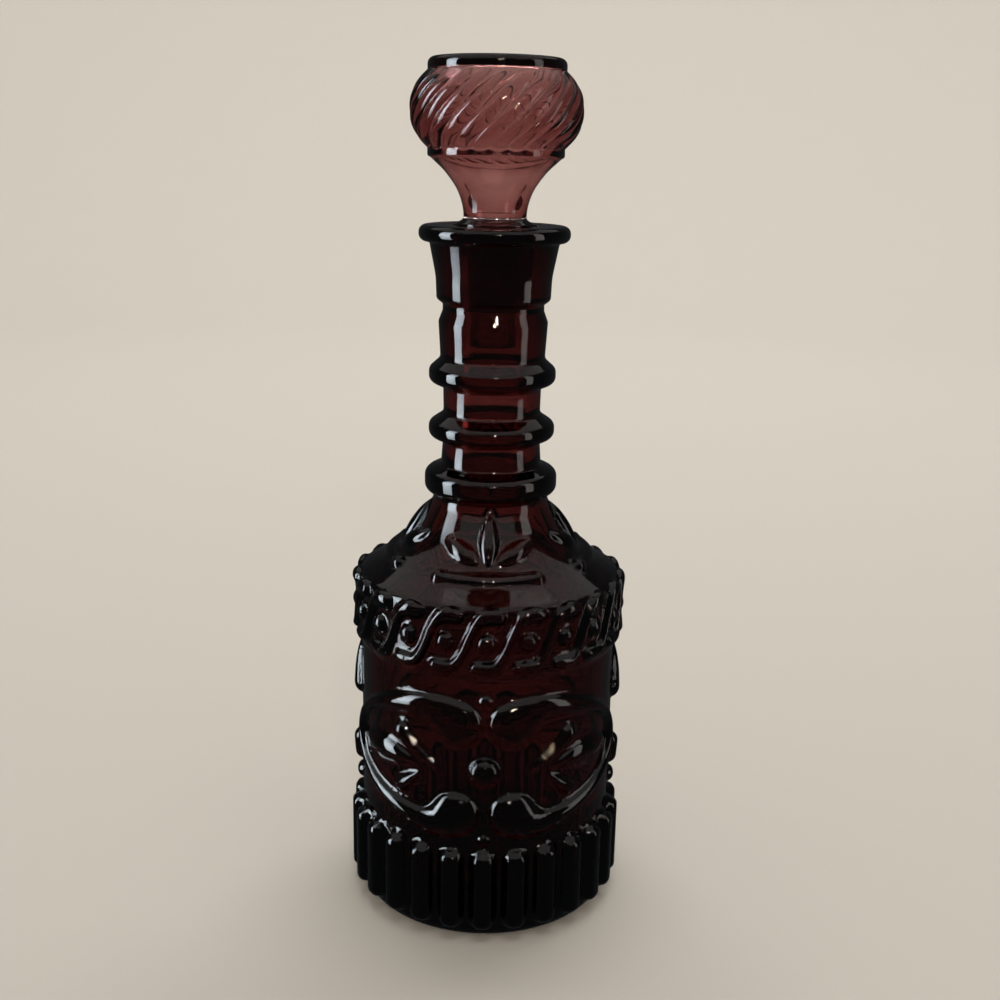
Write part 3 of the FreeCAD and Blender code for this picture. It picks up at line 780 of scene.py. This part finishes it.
class Socket:
    """A node's output in a material, with sums written as plain expressions."""

    def __init__(self, finish, output):
        self.finish = finish
        self.output = output

    def maths(self, operation, first, second):
        return self.finish.add("ShaderNodeMath", {"operation": operation}, {0: first, 1: second})

    def __add__(self, other):
        return self.maths("ADD", self, other)

    def __radd__(self, other):
        return self.maths("ADD", other, self)

    def __mul__(self, other):
        return self.maths("MULTIPLY", self, other)

    def __rmul__(self, other):
        return self.maths("MULTIPLY", other, self)


class Finish:
    """A material under construction."""

    def __init__(self, name):
        self.material = bpy.data.materials.new(name)
        self.material.use_nodes = True
        self.tree = self.material.node_tree
        self.tree.nodes.clear()

    def add(self, kind, settings, sockets, out=0):
        """Adds a node, sets it up, fills or links its sockets and returns one of its outputs, if any."""
        node = self.tree.nodes.new(kind)
        for key, value in settings.items():
            setattr(node, key, value)
        for key, value in sockets.items():
            if isinstance(value, Socket):
                self.tree.links.new(value.output, node.inputs[key])
            else:
                node.inputs[key].default_value = value
        return Socket(self, node.outputs[out]) if node.outputs else None

    def noise(self, place, grain):
        """Noise of a grain over the piece."""
        return self.add("ShaderNodeTexNoise", {}, {"Vector": place, **grain}, "Fac")

    def blend(self, share, colours):
        """Colour between two colours."""
        sockets = {"Factor": share, MIX_FIRST: colours[0], MIX_SECOND: colours[1]}
        return self.add("ShaderNodeMix", {"data_type": "RGBA"}, sockets, MIX_RESULT)


def blown_glass(name, colour, density, tints):
    """Coloured glass: absorbs with thickness, slightly streaky, uneven and hazy as old moulded glass is."""
    made = Finish(name)
    place = made.add("ShaderNodeTexCoord", {}, {}, "Object")
    streaks = made.noise(place, GLASS_STREAKS)
    ripple = made.noise(place, GLASS_RIPPLE)
    haze = made.noise(place, GLASS_HAZE)
    bump = made.add("ShaderNodeBump", {}, {"Strength": 0.12, "Distance": 0.0012, "Height": ripple}, "Normal")
    surface = made.add("ShaderNodeBsdfPrincipled", {}, {
        "Base Color": made.blend(streaks, tints),
        "Roughness": haze * MOST_HAZE,
        "IOR": GLASS_IOR,
        "Specular IOR Level": 0.4,
        "Transmission Weight": 1.0,
        "Normal": bump,
    })
    inside = made.add("ShaderNodeVolumeAbsorption", {}, {"Color": colour, "Density": density})
    made.add("ShaderNodeOutputMaterial", {}, {"Surface": surface, "Volume": inside})
    return made.material


def seal_plastic():
    """Translucent brown plastic with a fine uneven surface."""
    made = Finish("seal_plastic")
    mottle = made.noise(made.add("ShaderNodeTexCoord", {}, {}, "Object"), SEAL_MOTTLE)
    bump = made.add("ShaderNodeBump", {}, {"Strength": 0.2, "Distance": 0.0003, "Height": mottle}, "Normal")
    surface = made.add("ShaderNodeBsdfPrincipled", {}, {
        "Base Color": made.blend(mottle, SEAL_TONES),
        "Roughness": mottle * SEAL_UNEVENNESS + SEAL_ROUGHNESS,
        "Transmission Weight": 0.75,
        "Normal": bump,
    })
    made.add("ShaderNodeOutputMaterial", {}, {"Surface": surface})
    return made.material


def studio_paint():
    """Matt paint of the studio's floor."""
    made = Finish("studio_paint")
    surface = made.add("ShaderNodeBsdfPrincipled", {}, {
        "Base Color": STAGE_PAINT,
        "Roughness": 0.9,
        "Specular IOR Level": 0.0,
    })
    made.add("ShaderNodeOutputMaterial", {}, {"Surface": surface})
    return made.material


def make_stage():
    """Pale round floor that sweeps up into a wall on all sides.

    It isn't reflected by the glass, where it would lie as a grey veil over the colour: only the lamps are.
    """
    corners = [(0, 0, 0), (STAGE_R, 0, STAGE_BEND), (STAGE_R, STAGE_HEIGHT, 0)]
    outline = rounded(corners, even_rows(STAGE_ROW), STAGE_ARC_STEP)
    floor = turned_skin("studio_floor", outline, STAGE_SEGMENTS)
    floor.data.materials.append(studio_paint())
    bpy.ops.object.shade_smooth()
    floor.visible_glossy = False
    floor.visible_shadow = False


def add_lamp(name, at, toward, size, watts, colour):
    """Soft rectangular lamp that faces a point."""
    bpy.ops.object.light_add(type="AREA", location=at)
    lamp = bpy.context.object
    lamp.name = name
    lamp.data.shape = "RECTANGLE"
    lamp.data.size, lamp.data.size_y = size
    lamp.data.energy = watts
    lamp.data.color = colour
    lamp.rotation_mode = "QUATERNION"
    lamp.rotation_quaternion = (Vector(at) - Vector(toward)).to_track_quat("Z", "Y")
    return lamp


def make_light():
    """Soft studio light.

    The tall lamps at the left and right light the glass but not the floor, the wide one hangs overhead, the
    two small ones in front glint in the glass, and the two washes light the stage without being reflected.
    """
    window = add_lamp(
        "window", at=(-1.15, -0.22, 0.3), toward=BODY_MIDDLE, size=(0.42, 1.4), watts=4.2, colour=DAYLIGHT)
    window.data.spread = math.radians(WINDOW_SPREAD)
    room_fill = add_lamp(
        "room_fill", at=(1.5, -0.5, 0.5), toward=BODY_MIDDLE, size=(0.45, 1.6), watts=3.2, colour=ROOM_LIGHT)
    for lamp in (window, room_fill):
        lamp.visible_diffuse = False
    add_lamp(
        "ceiling", at=(-0.2, 0, 2.2), toward=(-0.2, 0, 0), size=(5.0, 5.0), watts=30, colour=CEILING_LIGHT)
    add_lamp(
        "ceiling_lamp", at=(0.3, -2.0, 1.35), toward=BODY_MIDDLE, size=SMALL_LAMP, watts=5, colour=LAMP_LIGHT)
    add_lamp(
        "warm_lamp", at=(0.12, -2.0, 1.2), toward=BODY_MIDDLE, size=SMALL_LAMP, watts=4, colour=WARM_LIGHT)
    wall_wash = add_lamp(
        "wall_wash", at=(0.2, 0.8, 2.7), toward=(0, 2.4, 0.5), size=(2.0, 0.8), watts=46, colour=WASH_LIGHT)
    floor_wash = add_lamp(
        "floor_wash", at=(0.2, -0.5, 2.7), toward=(0, 0.5, 0.3), size=(1.6, 0.8), watts=8, colour=WASH_LIGHT)
    for lamp in (wall_wash, floor_wash):
        lamp.visible_glossy = False
    world = bpy.data.worlds.new("room")
    bpy.context.scene.world = world
    world.use_nodes = True
    glow = world.node_tree.nodes["Background"]
    glow.inputs["Color"].default_value = ROOM_COLOUR
    glow.inputs["Strength"].default_value = ROOM_STRENGTH


def make_camera():
    """Camera at the photograph's place, pitch and slight lean."""
    data = bpy.data.cameras.new("view")
    data.sensor_width = SENSOR
    data.lens = CAMERA_LENS
    camera = bpy.data.objects.new("view", data)
    bpy.context.scene.collection.objects.link(camera)
    pitch = Matrix.Rotation(math.radians(90 - CAMERA_PITCH), 4, "X")
    roll = Matrix.Rotation(math.radians(CAMERA_ROLL), 4, "Z")
    camera.matrix_world = Matrix.Translation(CAMERA_AT) @ pitch @ roll
    bpy.context.scene.camera = camera


bpy.context.scene.view_settings.view_transform = "Standard"
make_camera()
make_stage()
make_light()

bottle = make_bottle()
bottle_glass = blown_glass("amethyst_bottle_glass", BOTTLE_COLOUR, BOTTLE_DENSITY, BOTTLE_TINTS)
bottle.data.materials.append(bottle_glass)
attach(bottle, "bottle")
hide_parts("bottle_body")

stopper = make_stopper()
stopper_glass = blown_glass("amethyst_stopper_glass", STOPPER_COLOUR, STOPPER_DENSITY, STOPPER_TINTS)
stopper.data.materials.append(stopper_glass)
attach(stopper, "stopper")
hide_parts("stopper_finial")

seal = make_seal()
seal.data.materials.append(seal_plastic())
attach(seal, "seal")
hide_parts("stopper_sleeve")
